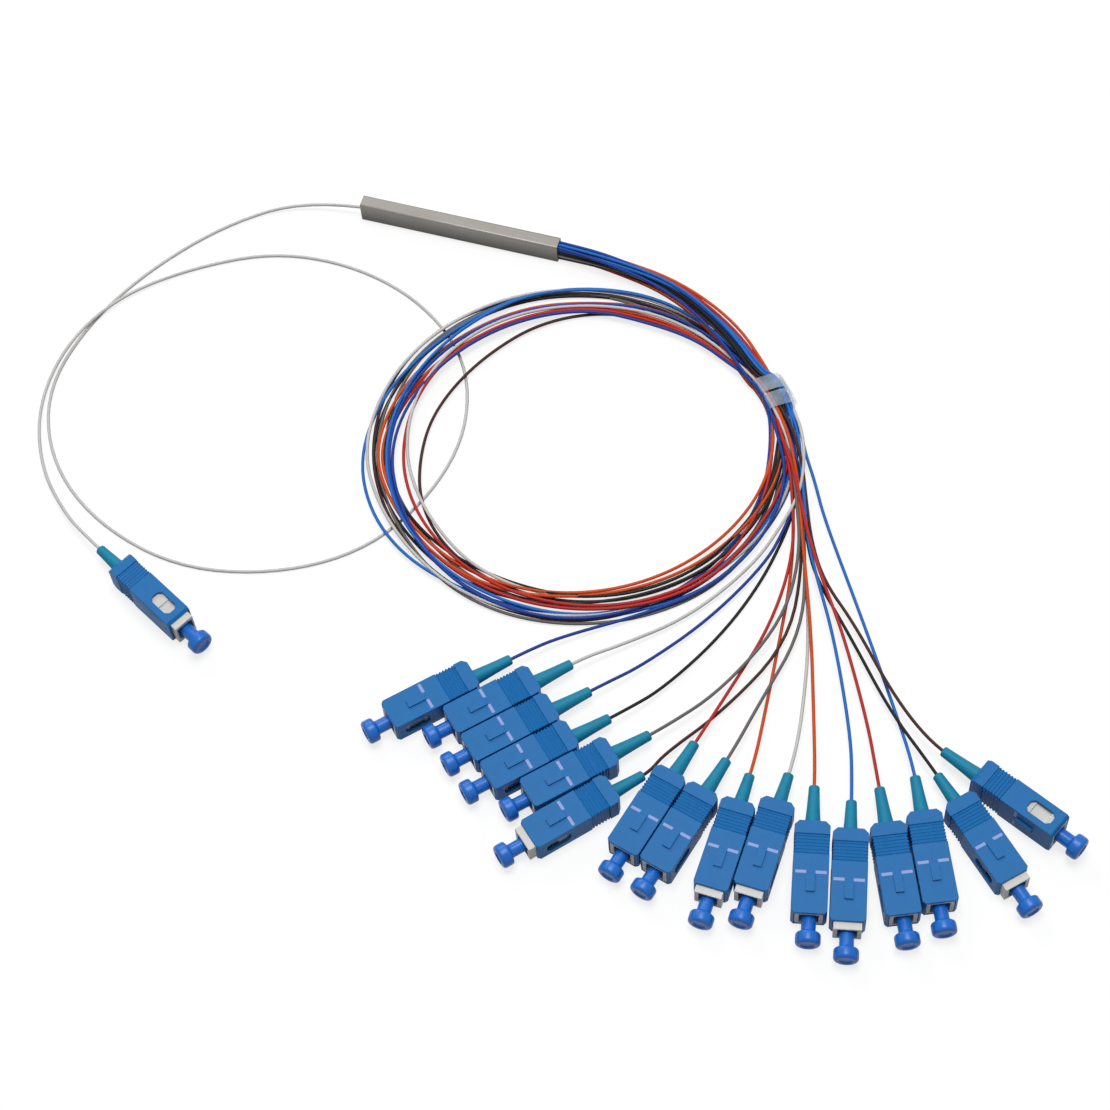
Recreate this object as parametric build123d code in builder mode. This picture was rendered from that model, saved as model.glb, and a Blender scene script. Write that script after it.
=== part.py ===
# A planar splitter for optical fibre, one input and sixteen outputs, in its bare metal tube.
# The chip and its two fibre arrays sit end to end inside the tube. One white lead comes in at
# the back, sixteen coloured leads go out at the front, make one turn together in a coil held
# by clear tape, and fan out. Every lead ends in a push-pull plug with a dust cap on it.
# Millimetres. Origin at the bottom centre of the tube, +X towards the outputs, +Z up.
import os
from math import atan, cos, degrees, pi, radians, sin, sqrt, tan

from build123d import *

# Module tube, standing on its narrow side. It is as long as what it holds, end to end.
tube_width = 4.0
tube_height = 7.0
tube_wall = 0.4
tube_corner = 0.6
seal_depth = 3.0
seal_fit = 0.03

# Chip and fibre arrays inside the tube, glued end to end on its middle line
stack_width = 2.5
chip_length = 14.0
chip_height = 3.6
array_length = 10.0
input_array_height = 2.5
output_array_height = 5.2
input_fibre_length = 11.0
ribbon_length = 9.0
fibre_diameter = 0.25
ribbon_height = 4.1
tube_length = 2 * seal_depth + input_fibre_length + 2 * array_length + chip_length + ribbon_length

# Leads, and the coil that the output leads make together
lead_diameter = 0.9
lead_sides = 4
tightest_bend = 5 * lead_diameter
coil_centre = (56.5, -62.5)
coil_turned = 30.0
coil_half_long = 60.0
coil_half_short = 54.0
coil_band = 8.0
coil_shift = 1.8
coil_underside = 1.2
coil_thickness = 2.7
bundle_width = 3.0
bundle_height = 5.2
tape_angle = 5.0
tape_length = 11.0
tape_thickness = 0.25
tape_corner = 1.6
tape_room = 0.35

# Plug: a white inner frame with the ferrule, and a blue grip that slides along it
grip_length = 25.0
grip_width = 9.0
grip_height = 7.4
grip_rear_wall = 1.6
grip_rear_cut = 1.2
grip_front_cut = 0.7
grip_travel = 2.0
rib_count = 6
rib_pitch = 0.9
rib_height = 0.35
ribs_from_back = 3.6
key_width = 2.2
key_length = 5.0
key_height = 0.6
key_from_back = 14.3
window_length = 7.2
window_height = 3.8
window_corner = 1.0
window_from_back = 15.2
frame_length = 21.0
frame_width = 7.1
frame_height = 5.9
frame_bore = 4.8
ledge_from_face = 9.5
ledge_thickness = 1.0
ledge_opening = 3.0
notch_from_face = 4.0
notch_length = 4.5
notch_depth = 0.5
slide_gap = 0.12

# Ferrule and what pushes it forward, in the frame's bore behind the ledge
ferrule_diameter = 2.5
ferrule_stands_out = 0.5
holder_length = 2.5
holder_across = 3.9
spring_diameter = 3.8
spring_length = 3.5
rear_body_fit = 0.1

# Boot on the rear of the frame
boot_length = 15.0
boot_root_diameter = 4.9
boot_tip_diameter = 2.7
boot_gap = 0.3

# Dust cap pushed over the ferrule
cap_inside = 6.5
cap_stem_diameter = 3.7
cap_stem_outside = 3.9
cap_flange_diameter = 6.4
cap_flange_thickness = 3.2
cap_bore_gap = 0.05
cap_bore_past_ferrule = 0.7

# Flat sides of the small round pieces, in place of a full circle's many facets
round_sides = 12
boot_sides = 10
ferrule_sides = 8
spring_sides = 6

# The output plugs lie side by side in a fan, and each one is placed from the one before it.
# For each: the gap beside it, how far ahead of the last one its front face is, its heading
# in degrees, how it lies, and whether its grip is drawn back.
first_output_face = (31.7, -156.7)
output_plugs = [
    (0.0, 0.0, -134, "key_up", False),
    (0.4, -13.1, -134, "key_up", False),
    (0.4, -0.3, -134, "key_up", False),
    (0.4, -0.5, -134, "key_up", False),
    (0.4, -6.5, -134, "key_up", False),
    (1.2, 7.3, -132, "key_up", True),
    (11.1, -15.7, -105, "key_up", False),
    (0.4, -0.1, -105, "key_up", False),
    (6.3, 1.5, -92, "key_up", True),
    (0.4, -3.1, -92, "key_up", True),
    (6.7, 2.2, -78, "key_up", False),
    (0.6, 3.4, -78, "key_up", True),
    (5.1, -3.4, -67, "key_up", False),
    (0.5, -2.0, -67, "key_up", False),
    (11.0, 1.4, -44, "key_up", True),
    (9.9, -3.9, -24, "key_right", False),
]
input_face = (-29.2, -145.8)
input_heading = -28

# Colour of each output lead, where it leaves the coil (degrees round the coil, and height),
# and the points of its route from there to its boot
output_leads = [
    ("blue", -72, 2.6, [(85, -108, 1.2), (67, -120.5, 2.6)]),
    ("white", -42, 3.3, [(110.5, -86, 2.8), (98, -105, 1.4), (83, -118.5, 2.4)]),
    ("blue", -40, 2.3, [(113.5, -84, 2.0), (103, -105, 1.6), (90, -123, 2.4)]),
    ("black", -46, 1.8, [(113.5, -90, 0.6), (107, -109, 0.6), (97, -128, 2.0)]),
    ("grey", -33, 2.6, [(120.5, -77, 4.4), (122.5, -101, 3.9), (112, -125, 3.2)]),
    ("brown", -32, 1.8, [(122.5, -79, 2.4), (125.5, -106, 2.4), (113.5, -130, 1.0),
                         (104.5, -144.5, 2.2)]),
    ("red", -37, 3.4, [(118.5, -79, 3.4), (119.5, -102, 1.8), (114, -124, 2.6)]),
    ("grey", -30, 3.4, [(123, -77, 3.5), (128, -101.5, 2.6), (122.5, -126, 3.0)]),
    ("orange", -35, 1.8, [(119.6, -82, 1.2), (122.8, -106, 0.8), (124.6, -128, 1.6)]),
    ("white", -29, 1.8, [(122.3, -78, 1.3), (130, -102, 1.0), (134, -125, 2.0)]),
    ("orange", -28, 2.6, [(122.5, -75, 5.3), (130.5, -102, 2.4), (137.5, -127, 2.4)]),
    ("blue", -26, 3.6, [(124.3, -75, 6.5), (136.5, -101.5, 2.6), (147.5, -128, 2.4)]),
    ("red", -25, 1.8, [(125.5, -77, 0.6), (138.5, -100, 0.6), (150.5, -122.5, 1.8)]),
    ("blue", -15, 2.6, [(125, -66, 1.0), (142, -93, 0.8), (156.5, -117, 1.0)]),
    ("black", -23, 2.6, [(124, -73.5, 2.0), (140, -99, 1.7), (155.5, -118.5, 2.6)]),
    ("brown", -21, 3.4, [(125.5, -73, 3.2), (140.5, -96, 2.8), (155, -114, 3.8)]),
]

# The input lead makes one and a half turns, under the coil twice and over itself once
input_points = [
    (-48, -0.5, 1.6),
    (-68, -14, 0.5),
    (-84.5, -36, 0.5),
    (-94.5, -59, 0.5),
    (-97, -83, 0.5),
    (-86.5, -104.5, 0.5),
    (-67, -119.5, 0.5),
    (-40, -127, 0.5),
    (-13, -121.5, 0.5),
    (8, -108, 0.5),
    (19.5, -87, 0.5),
    (22.8, -64, 0.5),
    (15, -41, 0.5),
    (-4, -25.5, 0.5),
    (-27, -18.5, 0.5),
    (-51, -20, 0.5),
    (-72.5, -32, 0.7),
    (-88.5, -47, 1.6),
    (-97, -66, 1.9),
    (-97, -88, 1.9),
    (-88.5, -107, 1.4),
    (-75.5, -120, 2.2),
]

# The output leads run side by side from the tube to the tape
bundle_points = [(46, -0.5, 3.5), (66, -4.5, 3.6), (84, -15, 3.9), (99, -28, 4.6), (107, -41, 4.2)]


def save(piece, name):
    piece.label = name
    export_step(piece, f"parts/{name}.step")


def coil_point(angle, height, outwards=0.0):
    # On the middle of the coil's band, measured round the coil from its long axis
    along = (coil_half_long - coil_band / 2 + outwards) * cos(radians(angle))
    across = (coil_half_short - coil_band / 2 + outwards) * sin(radians(angle))
    lean = radians(coil_turned)
    x = coil_centre[0] + along * cos(lean) - across * sin(lean)
    y = coil_centre[1] + along * sin(lean) + across * cos(lean)
    return (x, y, height)


def heading_vector(degrees_round):
    return Vector(cos(radians(degrees_round)), sin(radians(degrees_round)))


def plug_plane(face, heading, lies):
    # At the front face of the plug's frame, with Z out of the plug and Y towards its key
    forward = heading_vector(heading)
    x_direction = {
        "key_up": (-forward.Y, forward.X, 0),
        "key_right": (0, 0, 1),
        "key_left": (0, 0, -1),
    }[lies]
    axis_height = grip_height / 2 if lies == "key_up" else grip_width / 2
    return Plane(origin=(face.X, face.Y, axis_height), x_dir=x_direction, z_dir=forward)


def output_planes():
    planes = []
    for gap, ahead, heading, lies, drawn_back in output_plugs:
        half_width = grip_width / 2 if lies == "key_up" else grip_height / 2
        if not planes:
            face = Vector(*first_output_face)
        else:
            between = (heading + last_heading) / 2
            face += heading_vector(last_heading + 90) * last_half_width
            face += heading_vector(heading + 90) * half_width
            face += heading_vector(between + 90) * gap
            face += heading_vector(between) * ahead
        planes.append(plug_plane(face, heading, lies))
        last_heading = heading
        last_half_width = half_width
    return planes


def corner_radii(points):
    # As large as the runs beside each corner allow
    radii = []
    for before, corner, after in zip(points, points[1:], points[2:]):
        run_in = Vector(*corner) - Vector(*before)
        run_out = Vector(*after) - Vector(*corner)
        half_turn = radians(run_in.get_angle(run_out) / 2)
        radii.append(0.45 * min(run_in.length, run_out.length) / tan(half_turn))
    return radii


def lead_route(name, points):
    radii = corner_radii(points)
    with BuildLine() as route:
        FilletPolyline(*points, radius=radii)
    bends = ", ".join(f"{radius:.0f}" for radius in radii)
    print(f"{name}: bend radii {bends}")
    if min(radii) < tightest_bend:
        print(f"{name}: a bend is tighter than {tightest_bend:.1f}")
    return route.line


def make_leads(name, routes):
    # Each lead has flat sides and the round lead's section area, to keep its facets few
    corner_share = lead_sides * sin(2 * pi / lead_sides) / 2
    section_radius = lead_diameter / 2 * sqrt(pi / corner_share)
    with BuildPart() as leads:
        for route in routes:
            with BuildSketch(Plane(origin=route @ 0, z_dir=route % 0)):
                RegularPolygon(section_radius, lead_sides)
            sweep(path=route)
    length = sum(edge.length for route in routes for edge in route.edges())
    section = pi * lead_diameter**2 / 4
    print(f"{name}: length {length:.1f}, volume over section {leads.part.volume / section:.1f}")
    save(leads.part, name)


def make_module_tube():
    with BuildPart() as tube:
        with BuildSketch(Plane.YZ.offset(-tube_length / 2)):
            with Locations((0, tube_height / 2)):
                RectangleRounded(tube_width, tube_height, tube_corner)
                Rectangle(tube_width - 2 * tube_wall, tube_height - 2 * tube_wall, mode=Mode.SUBTRACT)
        extrude(amount=tube_length)
    save(tube.part, "splitter_tube")


def make_seal(name, start):
    with BuildPart() as seal:
        with BuildSketch(Plane.YZ.offset(start)):
            with Locations((0, tube_height / 2)):
                Rectangle(tube_width - 2 * tube_wall - 2 * seal_fit, tube_height - 2 * tube_wall - 2 * seal_fit)
        extrude(amount=seal_depth)
    save(seal.part, name)


def make_block(name, start, length, height):
    with BuildPart() as block:
        with BuildSketch(Plane.YZ.offset(start)):
            with Locations((0, tube_height / 2)):
                Rectangle(stack_width, height)
        extrude(amount=length)
    save(block.part, name)


def make_bare_fibres(input_start, ribbon_start):
    # One fibre from the input seal to its array, and the ribbon to the output seal
    with BuildPart() as fibres:
        with BuildSketch(Plane.YZ.offset(input_start)):
            with Locations((0, tube_height / 2)):
                RegularPolygon(fibre_diameter / 2, ferrule_sides)
        extrude(amount=input_fibre_length)
        with BuildSketch(Plane.YZ.offset(ribbon_start)):
            with Locations((0, tube_height / 2)):
                Rectangle(fibre_diameter, ribbon_height)
        extrude(amount=ribbon_length)
    save(fibres.part, "bare_fibres")


def make_coil():
    # Narrow at the tape, where the leads are pulled together, and wider opposite it
    hole_centre = Vector(*coil_centre) + heading_vector(coil_turned) * coil_shift
    with BuildPart() as coil:
        with BuildSketch(Plane.XY.offset(coil_underside)):
            with Locations(Location(coil_centre, coil_turned)):
                Ellipse(coil_half_long, coil_half_short)
            with Locations(Location(hole_centre, coil_turned)):
                Ellipse(coil_half_long - coil_band, coil_half_short - coil_band, mode=Mode.SUBTRACT)
        extrude(amount=coil_thickness)
    save(coil.part, "output_coil")


def make_entry_bundle():
    points = [(tube_length / 2, 0, tube_height / 2)] + bundle_points
    with BuildPart() as bundle:
        with BuildLine() as route:
            FilletPolyline(*points, radius=corner_radii(points))
        with BuildSketch(Plane(origin=route.line @ 0, x_dir=(0, -1, 0), z_dir=route.line % 0)):
            Rectangle(bundle_width, bundle_height)
        sweep()
    save(bundle.part, "entry_bundle")


def make_coil_tape():
    # A turn of tape round the coil and the entry bundle, where the two run together
    middle = Vector(*coil_point(tape_angle, 0, coil_shift / 2))
    after = Vector(*coil_point(tape_angle - 1, 0, coil_shift / 2))
    along = (after - middle).normalized()
    bottom = coil_underside - tape_room - tape_thickness
    top = bundle_points[-2][2] + bundle_height / 2 + tape_room + tape_thickness
    width = coil_band - coil_shift + 2 * tape_room + 2 * tape_thickness
    tape_plane = Plane(origin=(middle.X, middle.Y, (bottom + top) / 2), x_dir=(along.Y, -along.X, 0), z_dir=along)
    with BuildPart() as tape:
        with BuildSketch(tape_plane) as section:
            Rectangle(width, top - bottom)
            chamfer(section.vertices(), tape_corner)
            offset(amount=-tape_thickness, mode=Mode.SUBTRACT)
        extrude(amount=tape_length / 2, both=True)
    save(tape.part, "coil_tape")


def make_plug_frames(planes):
    with BuildPart() as frames:
        for plane in planes:
            with BuildSketch(plane.offset(-frame_length)):
                Rectangle(frame_width, frame_height)
                Rectangle(frame_bore, frame_bore, mode=Mode.SUBTRACT)
            extrude(amount=frame_length)
            with BuildSketch(plane.offset(-ledge_from_face - ledge_thickness)):
                Rectangle(frame_bore, frame_bore)
                Rectangle(ledge_opening, ledge_opening, mode=Mode.SUBTRACT)
            extrude(amount=ledge_thickness)
            with BuildSketch(plane.offset(-notch_from_face - notch_length)):
                with Locations((-frame_width / 2, 0), (frame_width / 2, 0)):
                    Rectangle(2 * notch_depth, frame_height)
            extrude(amount=notch_length, mode=Mode.SUBTRACT)
    save(frames.part, "plug_frames")


def make_ferrule_trains(planes):
    # Behind the ledge: the ferrule's holder, its spring and the rear body that backs it.
    # The spring is a closed cylinder of its outside size.
    holder_seat = ledge_from_face + ledge_thickness
    spring_seat = holder_seat + holder_length
    rear_body_front = spring_seat + spring_length
    with BuildPart() as ferrules:
        for plane in planes:
            with BuildSketch(plane.offset(-holder_seat)):
                RegularPolygon(ferrule_diameter / 2, ferrule_sides, major_radius=False)
            extrude(amount=holder_seat + ferrule_stands_out)
    save(ferrules.part, "ferrules")
    with BuildPart() as holders:
        for plane in planes:
            with BuildSketch(plane.offset(-spring_seat)):
                RegularPolygon(holder_across / 2, 6, major_radius=False)
            extrude(amount=holder_length)
    save(holders.part, "ferrule_holders")
    with BuildPart() as springs:
        for plane in planes:
            with BuildSketch(plane.offset(-rear_body_front)):
                RegularPolygon(spring_diameter / 2, spring_sides)
            extrude(amount=spring_length)
    save(springs.part, "springs")
    with BuildPart() as rear_bodies:
        for plane in planes:
            with BuildSketch(plane.offset(-frame_length)):
                Rectangle(frame_bore - 2 * rear_body_fit, frame_bore - 2 * rear_body_fit)
            extrude(amount=frame_length - rear_body_front)
    save(rear_bodies.part, "rear_bodies")


def make_boots(planes):
    taper_angle = degrees(atan((boot_root_diameter - boot_tip_diameter) / 2 / boot_length))
    with BuildPart() as boots:
        for plane in planes:
            with BuildSketch(plane.offset(-frame_length)):
                RegularPolygon(boot_root_diameter / 2, boot_sides)
            extrude(amount=-boot_length, taper=taper_angle)
    save(boots.part, "boots")


def make_grip():
    # Z out of the plug, its front face at zero and its key towards Y
    cavity_width = frame_width + 2 * slide_gap
    cavity_height = frame_height + 2 * slide_gap
    rear_opening = boot_root_diameter + 2 * boot_gap
    ribs_end = ribs_from_back + rib_count * rib_pitch
    rib_slope = degrees(atan(rib_height / (rib_pitch / 2)))
    with BuildPart() as grip:
        with BuildSketch(Plane.XY.offset(-grip_length)):
            Rectangle(grip_width, grip_height)
        extrude(amount=ribs_from_back)
        with BuildSketch(Plane.XY.offset(ribs_end - grip_length)):
            Rectangle(grip_width, grip_height)
        extrude(amount=grip_length - ribs_end)
        for rib in range(rib_count):
            crest = ribs_from_back + (rib + 0.5) * rib_pitch
            with BuildSketch(Plane.XY.offset(crest - grip_length)):
                Rectangle(grip_width, grip_height)
            extrude(amount=rib_pitch / 2, both=True, taper=rib_slope)
        end_edges = grip.edges().filter_by(Axis.Y).group_by(Axis.Z)
        chamfer(end_edges[0], grip_rear_cut)
        end_edges = grip.edges().filter_by(Axis.Y).group_by(Axis.Z)
        chamfer(end_edges[-1], grip_front_cut)
        with BuildSketch(Plane.XY.offset(grip_rear_wall - grip_length)):
            Rectangle(cavity_width, cavity_height)
        extrude(amount=grip_length - grip_rear_wall, mode=Mode.SUBTRACT)
        with BuildSketch(Plane.XY.offset(-grip_length)):
            Rectangle(rear_opening, rear_opening)
        extrude(amount=grip_rear_wall, mode=Mode.SUBTRACT)
        with BuildSketch(Plane.YZ) as window:
            with Locations((0, window_from_back + window_length / 2 - grip_length)):
                Rectangle(window_height, window_length)
            chamfer(window.vertices(), window_corner)
        extrude(amount=grip_width / 2, both=True, mode=Mode.SUBTRACT)
        with BuildSketch(Plane.XZ.offset(-grip_height / 2)):
            with Locations((0, key_from_back + key_length / 2 - grip_length)):
                Rectangle(key_width, key_length)
        extrude(amount=-key_height)
    return grip.part


def make_dust_cap():
    # Z out of the plug, from the frame's front face
    bore_depth = cap_inside + ferrule_stands_out + cap_bore_past_ferrule
    with BuildPart() as cap:
        with BuildSketch(Plane.XY.offset(-cap_inside)):
            RegularPolygon(cap_stem_diameter / 2, round_sides)
        extrude(amount=cap_inside + cap_stem_outside)
        with BuildSketch(Plane.XY.offset(cap_stem_outside)):
            RegularPolygon(cap_flange_diameter / 2, round_sides)
        extrude(amount=cap_flange_thickness)
        with BuildSketch(Plane.XY.offset(-cap_inside)):
            RegularPolygon(ferrule_diameter / 2 + cap_bore_gap, ferrule_sides, major_radius=False)
        extrude(amount=bore_depth, mode=Mode.SUBTRACT)
    return cap.part


def place_on_plugs(master, stem, planes):
    names = [f"{number + 1}" for number in range(len(planes) - 1)] + ["input"]
    for name, plane in zip(names, planes):
        with BuildPart() as placed:
            with Locations(plane.location):
                add(master)
        save(placed.part, f"{stem}_{name}")


def make_all_leads(planes):
    # A lead runs from the coil, or from the input seal, to the tip of its boot
    boot_tips = [plane.offset(-frame_length - boot_length).origin for plane in planes]
    routes_by_colour = {}
    for number, ((colour, angle, height, middle), tip) in enumerate(zip(output_leads, boot_tips)):
        points = [coil_point(angle, height)] + middle + [tuple(tip)]
        route = lead_route(f"lead {number + 1} {colour}", points)
        routes_by_colour.setdefault(colour, []).append(route)
    for colour, routes in routes_by_colour.items():
        make_leads(f"{colour}_leads", routes)
    points = [(-tube_length / 2, 0, tube_height / 2)] + input_points + [tuple(boot_tips[-1])]
    make_leads("input_lead", [lead_route("input lead", points)])


os.makedirs("parts", exist_ok=True)
plug_planes = output_planes() + [plug_plane(Vector(*input_face), input_heading, "key_left")]
grips_drawn_back = [row[-1] for row in output_plugs] + [True]
grip_planes = [
    plane.offset(-grip_travel if drawn_back else 0) for plane, drawn_back in zip(plug_planes, grips_drawn_back)
]

make_module_tube()
input_fibre_start = -tube_length / 2 + seal_depth
input_array_start = input_fibre_start + input_fibre_length
chip_start = input_array_start + array_length
output_array_start = chip_start + chip_length
ribbon_start = output_array_start + array_length
make_seal("input_seal", -tube_length / 2)
make_block("input_fibre_array", input_array_start, array_length, input_array_height)
make_block("plc_chip", chip_start, chip_length, chip_height)
make_block("output_fibre_array", output_array_start, array_length, output_array_height)
make_bare_fibres(input_fibre_start, ribbon_start)
make_seal("output_seal", ribbon_start + ribbon_length)
make_coil()
make_entry_bundle()
make_coil_tape()
make_plug_frames(plug_planes)
make_ferrule_trains(plug_planes)
make_boots(plug_planes)
place_on_plugs(make_grip(), "grip", grip_planes)
place_on_plugs(make_dust_cap(), "dust_cap", plug_planes)
make_all_leads(plug_planes)
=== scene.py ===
import bpy
import math
import numpy as np
from mathutils import Matrix, Vector


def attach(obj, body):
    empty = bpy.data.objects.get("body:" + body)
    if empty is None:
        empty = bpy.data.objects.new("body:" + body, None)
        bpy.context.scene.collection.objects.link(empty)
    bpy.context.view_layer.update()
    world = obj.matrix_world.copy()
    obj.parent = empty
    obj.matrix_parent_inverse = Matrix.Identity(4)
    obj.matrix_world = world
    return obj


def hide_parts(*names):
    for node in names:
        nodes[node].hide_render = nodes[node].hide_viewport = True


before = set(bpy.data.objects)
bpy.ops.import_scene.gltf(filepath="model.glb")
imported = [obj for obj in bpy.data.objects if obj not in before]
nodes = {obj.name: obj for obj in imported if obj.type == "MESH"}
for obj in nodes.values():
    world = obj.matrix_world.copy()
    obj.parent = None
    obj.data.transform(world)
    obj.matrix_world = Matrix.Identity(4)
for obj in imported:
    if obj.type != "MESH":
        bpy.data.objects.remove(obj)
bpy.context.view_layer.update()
scene = bpy.context.scene
mm = 0.001
sharpFrom = 40.0  # degrees between two faces, past which their edge stays sharp
print("frame loaded:", len(nodes), "nodes")


class Sock:
    # wraps one output socket, so that shader maths reads as plain expressions
    def __init__(self, wiring, out):
        self.wiring, self.out = wiring, out

    def maths(self, operation, a, b=0.0):
        return self.wiring.add("ShaderNodeMath", {"operation": operation}, {0: a, 1: b})[0]

    def __add__(self, other):
        return self.maths("ADD", self, other)

    def __radd__(self, other):
        return self.maths("ADD", other, self)

    def __sub__(self, other):
        return self.maths("SUBTRACT", self, other)

    def __rsub__(self, other):
        return self.maths("SUBTRACT", other, self)

    def __mul__(self, other):
        return self.maths("MULTIPLY", self, other)

    def __rmul__(self, other):
        return self.maths("MULTIPLY", other, self)

    def __gt__(self, other):
        return self.maths("GREATER_THAN", self, other)

    def __lt__(self, other):
        return self.maths("LESS_THAN", self, other)

    def __abs__(self):
        return self.maths("ABSOLUTE", self)

    def clamp(self):
        return self.wiring.add("ShaderNodeClamp", {}, {0: self})[0]


class Wiring:
    # adds nodes to one node tree
    def __init__(self, tree):
        self.tree = tree

    def plug(self, target, value):
        if isinstance(value, Sock):
            self.tree.links.new(value.out, target)
        else:
            target.default_value = value

    def add(self, kind, settings, values):
        node = self.tree.nodes.new(kind)
        for key, value in settings.items():
            setattr(node, key, value)
        for key, value in values.items():
            self.plug(node.inputs[key], value)
        return [Sock(self, out) for out in node.outputs]

    def seenAsWhite(self):
        # 1 for what the camera sees straight, in a gloss or through a clear film
        path = self.add("ShaderNodeLightPath", {}, {})
        return (path[0] + path[3] + path[6]).clamp()


class Finish(Wiring):
    # one material and its Principled shader; constants go straight onto the shader's sockets
    def __init__(self, name, **constants):
        self.material = bpy.data.materials.new(name)
        self.material.use_nodes = True
        super().__init__(self.material.node_tree)
        self.shader = self.tree.nodes["Principled BSDF"]
        for socket, value in constants.items():
            self.shader.inputs[socket.replace("_", " ")].default_value = value

    def place(self):
        return self.add("ShaderNodeTexCoord", {}, {})[3]

    def noise(self, where, scale, detail=3.0, rough=0.55):
        values = {"Vector": where, "Scale": scale, "Detail": detail, "Roughness": rough}
        return self.add("ShaderNodeTexNoise", {}, values)[0]

    def mix(self, factor, a, b):
        return self.add("ShaderNodeMix", {"data_type": "RGBA"}, {0: factor, 6: a, 7: b})[2]

    def scaled(self, where, scale, turn=(0, 0, 0), move=(0, 0, 0), kind="POINT"):
        return self.add("ShaderNodeMapping", {"vector_type": kind}, {0: where, 1: move, 2: turn, 3: scale})[0]

    def split(self, where):
        return self.add("ShaderNodeSeparateXYZ", {}, {0: where})

    def bump(self, height, strength, distance):
        values = {"Height": height, "Strength": strength, "Distance": distance}
        return self.add("ShaderNodeBump", {}, values)[0]

    def drive(self, **links):
        for socket, value in links.items():
            self.plug(self.shader.inputs[socket.replace("_", " ")], value)
        return self.material


def rgba(colour, gain=1.0):
    return (*[min(1.0, c * gain) for c in colour[:3]], 1.0)


# face x, face y, heading in degrees, how it lies, grip drawn back (mm)
plugTable = {
    "1": (31.7, -156.7, -134, "up", 0), "2": (47.5, -153.8, -134, "up", 0),
    "3": (54.5, -160.1, -134, "up", 0), "4": (61.6, -166.3, -134, "up", 0),
    "5": (72.9, -168.1, -134, "up", 0), "6": (75.4, -180.4, -132, "up", 2),
    "7": (100.4, -176.1, -105, "up", 0), "8": (109.5, -178.5, -105, "up", 0),
    "9": (124.3, -182.2, -92, "up", 2), "10": (133.8, -179.4, -92, "up", 2),
    "11": (149.6, -180.2, -78, "up", 0), "12": (159.6, -181.6, -78, "up", 2),
    "13": (172.1, -174.1, -67, "up", 0), "14": (180.0, -168.6, -67, "up", 0),
    "15": (197.1, -158.5, -44, "up", 2), "16": (204.0, -141.5, -24, "right", 0),
    "input": (-29.2, -145.8, -28, "left", 2),
}
axisHeight = {"up": 3.7, "right": 4.5, "left": 4.5}  # a plug's middle line over the floor, by how it lies


def plugFrame(name, back=0.0):
    # columns are across, towards the key, and out of the plug; the origin is the frame's front face
    x, y, heading, lies, _ = plugTable[name]
    fx, fy = math.cos(math.radians(heading)), math.sin(math.radians(heading))
    forward = Vector((fx, fy, 0))
    across = {"up": Vector((-fy, fx, 0)), "right": Vector((0, 0, 1)), "left": Vector((0, 0, -1))}[lies]
    key = forward.cross(across)
    origin = Vector((x, y, axisHeight[lies])) - forward * back
    made = Matrix((across, key, forward)).transposed().to_4x4()
    made.translation = origin * mm
    return made


def gridPart(points, closedAcross=True, capped=False):
    # points is rows x columns x 3: neighbours in the grid make the quads,
    # and each cap closes an end on its mean point
    rows, columns = points.shape[:2]
    corners = points.reshape(-1, 3)
    spans = columns if closedAcross else columns - 1
    i, j = np.meshgrid(np.arange(rows - 1), np.arange(spans), indexing="ij")
    k = (j + 1) % columns
    quads = np.stack([i * columns + j, i * columns + k, (i + 1) * columns + k, (i + 1) * columns + j], -1)
    faces = quads.reshape(-1, 4).tolist()
    if capped:
        ring = np.arange(columns)
        after = np.roll(ring, -1)
        last = (rows - 1) * columns
        middle = np.full(columns, len(corners))
        faces += np.stack([after, ring, middle], -1).tolist()
        faces += np.stack([last + ring, last + after, middle + 1], -1).tolist()
        corners = np.vstack([corners, points[0].mean(0), points[-1].mean(0)])
    return corners, faces


def showParts(name, material, *parts):
    # one object from one or more grid parts, smooth apart from its sharp edges
    corners, faces = [], []
    for partCorners, partFaces in parts:
        start = sum(len(c) for c in corners)
        corners.append(partCorners)
        faces += [[start + v for v in face] for face in partFaces]
    mesh = bpy.data.meshes.new(name)
    mesh.from_pydata(np.vstack(corners).tolist(), [], faces)
    mesh.materials.append(material)
    mesh.polygons.foreach_set("use_smooth", [True] * len(mesh.polygons))
    mesh.set_sharp_from_angle(angle=math.radians(sharpFrom))
    made = bpy.data.objects.new(name, mesh)
    scene.collection.objects.link(made)
    return made


def turned(profile, sides, matrix):
    # a profile of (radius, along) pairs carried once round the axis, in the plug's own frame
    profile = np.asarray(profile, float)
    angle = np.linspace(0, 2 * np.pi, sides, endpoint=False)
    x = profile[:, :1] * np.cos(angle)
    y = profile[:, :1] * np.sin(angle)
    z = np.repeat(profile[:, 1:], sides, 1)
    local = np.stack([x, y, z], -1) * mm
    m = np.array(matrix)
    return local @ m[:3, :3].T + m[:3, 3]


def rounded(corners, radii, steps=5):
    # each corner of an open profile becomes an arc that starts and ends a radius away from it
    out = [corners[0]]
    for before, corner, after, radius in zip(corners, corners[1:], corners[2:], radii):
        b, c, a = (np.array(p, float) for p in (before, corner, after))
        start = c + (b - c) / np.linalg.norm(b - c) * radius
        end = c + (a - c) / np.linalg.norm(a - c) * radius
        t = np.linspace(0, 1, steps)[:, None]
        out += [tuple(p) for p in (1 - t) ** 2 * start + 2 * t * (1 - t) * c + t ** 2 * end]
    return out + [corners[-1]]


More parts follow.
